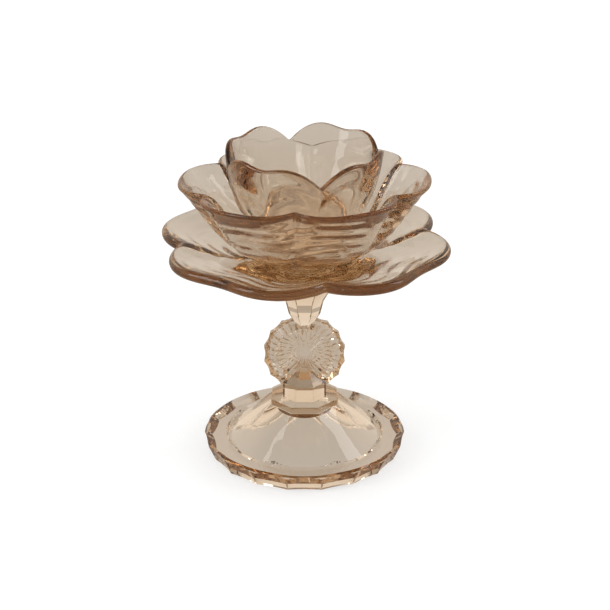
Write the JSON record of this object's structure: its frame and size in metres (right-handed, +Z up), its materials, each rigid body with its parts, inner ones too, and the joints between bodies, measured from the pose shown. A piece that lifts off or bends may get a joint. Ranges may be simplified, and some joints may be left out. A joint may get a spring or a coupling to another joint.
{
  "type": "tea light holder",
  "caption": "Footed glass tea light holder: a cup inside two tiers of petals, on a sunburst stem and a fluted round foot.",
  "frame": {"origin": "centre of the plane that the foot stands on", "axes": "+Z up along the axis of the foot; the sunburst disc faces -Y and +Y; +X to the right seen from the front"},
  "size_m": [0.1408, 0.1408, 0.1612],
  "materials": {
    "amber_glass": "fire-polished, pale amber tint",
    "clear_bond": "clear cured adhesive"
  },
  "bodies": {
    "root": {"foot": "amber_glass", "film_foot": "clear_bond", "stem_knob": "amber_glass", "film_stem": "clear_bond", "lower_petal_dish": "amber_glass", "film_bowl": "clear_bond", "middle_petal_bowl": "amber_glass", "film_cup": "clear_bond", "petal_cup": "amber_glass"}
  },
  "joints": []
}
